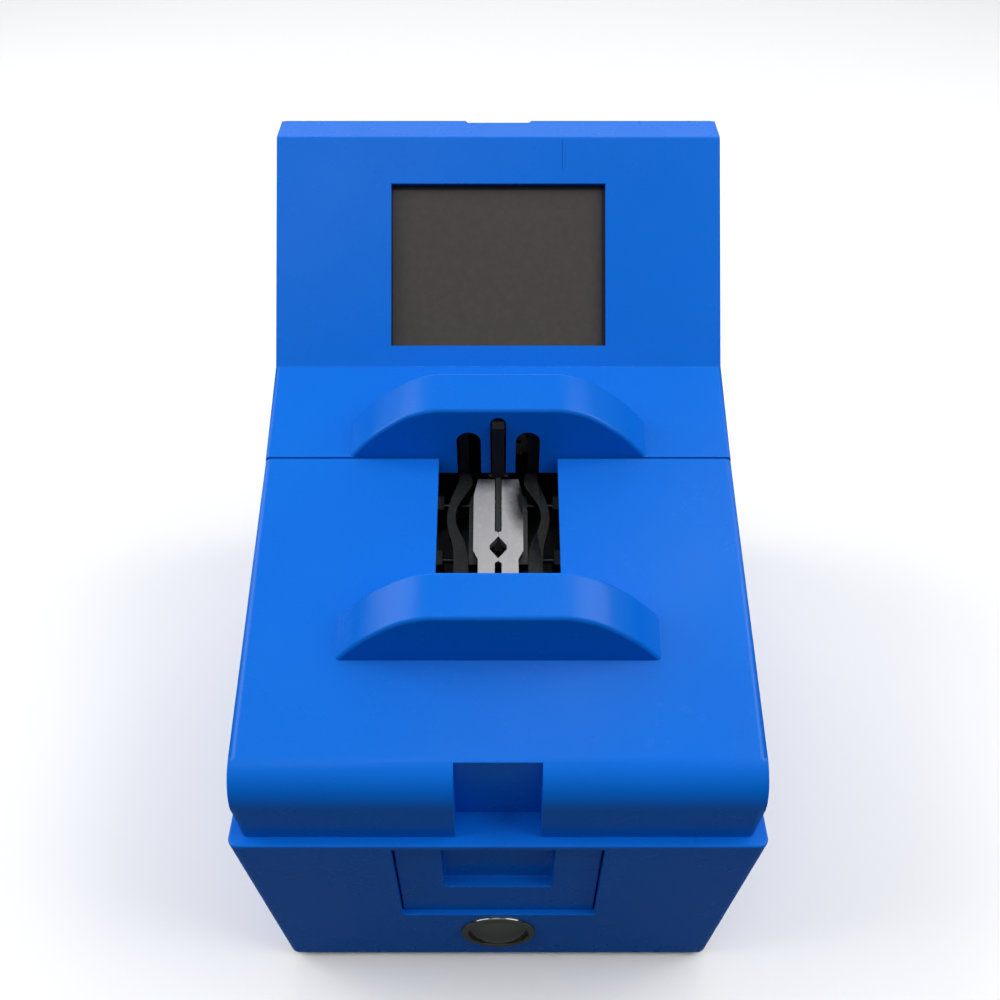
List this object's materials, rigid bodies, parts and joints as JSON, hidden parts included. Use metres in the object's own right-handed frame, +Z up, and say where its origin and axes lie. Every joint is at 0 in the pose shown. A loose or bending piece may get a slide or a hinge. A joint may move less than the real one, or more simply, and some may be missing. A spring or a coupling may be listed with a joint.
{
  "type": "benchtop gripping machine with display",
  "caption": "Tapered bench-top machine with a sloping lift-off lid, display housing, two arched guard hoods, gripping jaws, curved claws, a centre blade, a drawer and a round button.",
  "frame": {"origin": "centre of the four feet on the table", "axes": "+X to the machine's right as seen by its user, +Y to its back, +Z up"},
  "size_m": [0.252, 0.3413, 0.3376],
  "materials": {
    "blue_shell": "smooth moulded, glossy",
    "steel": "turned, bright",
    "black_plastic": "fine matt",
    "zinc_steel": "zinc plated sheet",
    "chrome_trim": "mirror plated",
    "rubber_black": "matt",
    "display_glass": "anti-glare dark face",
    "circuit_board": "solder mask",
    "black_metal": "black oxide and paint",
    "gear_plastic": "natural engineering plastic",
    "motor_can": "drawn steel can",
    "jaw_steel": "ground and worn",
    "machined_alloy": "machined",
    "brass_post": "turned",
    "magnet_block": "sintered block",
    "red_plastic": "smooth"
  },
  "bodies": {
    "housing": {"base_tray": "blue_shell", "rear_housing": "blue_shell", "door_hinge_pins": "steel", "door_magnet": "magnet_block", "drawer_runners": "zinc_steel", "button_bezel": "chrome_trim", "button_spring": "steel", "button_switch": "black_plastic", "rubber_feet": "rubber_black", "foot_screws": "steel", "housing_screws": "steel", "lid_dowels": "steel", "display_gasket": "rubber_black", "display_panel": "display_glass", "display_frame": "zinc_steel", "display_board": "circuit_board", "display_screws": "steel", "mechanism_plate": "black_metal", "side_brackets": "zinc_steel", "bracket_screws": "steel", "claw_pivot_pins": "steel", "claw_motor": "motor_can", "jaw_rods": "steel", "jaw_rod_blocks": "black_plastic", "jaw_motor": "motor_can", "blade_rail": "steel", "blade_motor": "motor_can", "main_board": "circuit_board", "board_standoffs": "brass_post", "board_parts": "black_plastic", "power_supply": "zinc_steel", "power_inlet": "black_plastic", "drive_cables": "rubber_black"},
    "front_cover": {"front_lid": "blue_shell"},
    "service_door": {"rear_door": "blue_shell"},
    "drawer": {"drawer_front": "blue_shell", "drawer_tray": "black_plastic"},
    "start_button": {"button_cap": "chrome_trim"},
    "right_claw_arm": {"right_claw": "black_metal"},
    "left_claw_arm": {"left_claw": "black_metal"},
    "claw_drive": {"claw_drive_gear": "gear_plastic"},
    "right_jaw_slide": {"right_jaw": "jaw_steel", "right_jaw_carrier": "machined_alloy", "right_jaw_screws": "steel"},
    "left_jaw_slide": {"left_jaw": "jaw_steel", "left_jaw_carrier": "machined_alloy", "left_jaw_screws": "steel"},
    "jaw_drive": {"jaw_pinion": "gear_plastic"},
    "blade_slide": {"blade": "black_metal", "blade_carrier": "machined_alloy"},
    "blade_drive": {"blade_pinion": "gear_plastic"},
    "rocker": {"power_switch": "red_plastic"}
  },
  "joints": [
    {"name": "lid_lift", "type": "slide", "parent": "housing", "child": "front_cover", "axis": [0, 0, 1], "range_m": [0, 0.12]},
    {"name": "door_hinge", "type": "hinge", "parent": "housing", "child": "service_door", "pos_m": [0, 0.1674, 0.1494], "axis": [-1, 0, 0], "range_deg": [0, 90]},
    {"name": "drawer_slide", "type": "slide", "parent": "housing", "child": "drawer", "axis": [0, -1, 0], "range_m": [0, 0.1]},
    {"name": "button_press", "type": "slide", "parent": "housing", "child": "start_button", "axis": [0, 0.9993, 0.0362], "range_m": [0, 0.0025], "stiffness_N_per_m": 800, "springref_m": -0.002, "deforming": ["button_spring"]},
    {"name": "right_claw_pivot", "type": "hinge", "parent": "housing", "child": "right_claw_arm", "pos_m": [0.013, -0.06937, 0.18159], "axis": [0, -0.3007, 0.9537], "range_deg": [0, 4]},
    {"name": "left_claw_pivot", "type": "hinge", "parent": "housing", "child": "left_claw_arm", "pos_m": [-0.013, -0.06937, 0.18159], "axis": [0, -0.3007, 0.9537], "range_deg": [-4, 0]},
    {"name": "claw_gear_spin", "type": "hinge", "parent": "housing", "child": "claw_drive", "pos_m": [-0.0325, -0.06486, 0.16729], "axis": [0, -0.3007, 0.9537], "range_deg": [0, 8]},
    {"name": "right_jaw_travel", "type": "slide", "parent": "housing", "child": "right_jaw_slide", "axis": [1, 0, 0], "range_m": [0, 0.006]},
    {"name": "left_jaw_travel", "type": "slide", "parent": "housing", "child": "left_jaw_slide", "axis": [-1, 0, 0], "range_m": [0, 0.006]},
    {"name": "jaw_pinion_spin", "type": "hinge", "parent": "housing", "child": "jaw_drive", "pos_m": [0, -0.01652, 0.18358], "axis": [0, -0.3007, 0.9537], "range_deg": [-43.2, 0]},
    {"name": "blade_travel", "type": "slide", "parent": "housing", "child": "blade_slide", "axis": [0, 0.9537, 0.3007], "range_m": [0, 0.01]},
    {"name": "blade_pinion_spin", "type": "hinge", "parent": "housing", "child": "blade_drive", "pos_m": [0.0115, 0.04166, 0.20192], "axis": [0, -0.3007, 0.9537], "range_deg": [-96, 0]},
    {"name": "power_rocker", "type": "hinge", "parent": "housing", "child": "rocker", "pos_m": [0.06, 0.16045, 0.08261], "axis": [1, 0, 0], "range_deg": [0, 10]}
  ],
  "couplings": [
    {"joint": "left_claw_pivot", "follows": "right_claw_pivot", "ratio": -1},
    {"joint": "claw_gear_spin", "follows": "right_claw_pivot", "ratio": 2},
    {"joint": "left_jaw_travel", "follows": "right_jaw_travel", "ratio": 1},
    {"joint": "jaw_pinion_spin", "follows": "right_jaw_travel", "rad_per_m": -125},
    {"joint": "blade_pinion_spin", "follows": "blade_travel", "rad_per_m": -166.67}
  ]
}
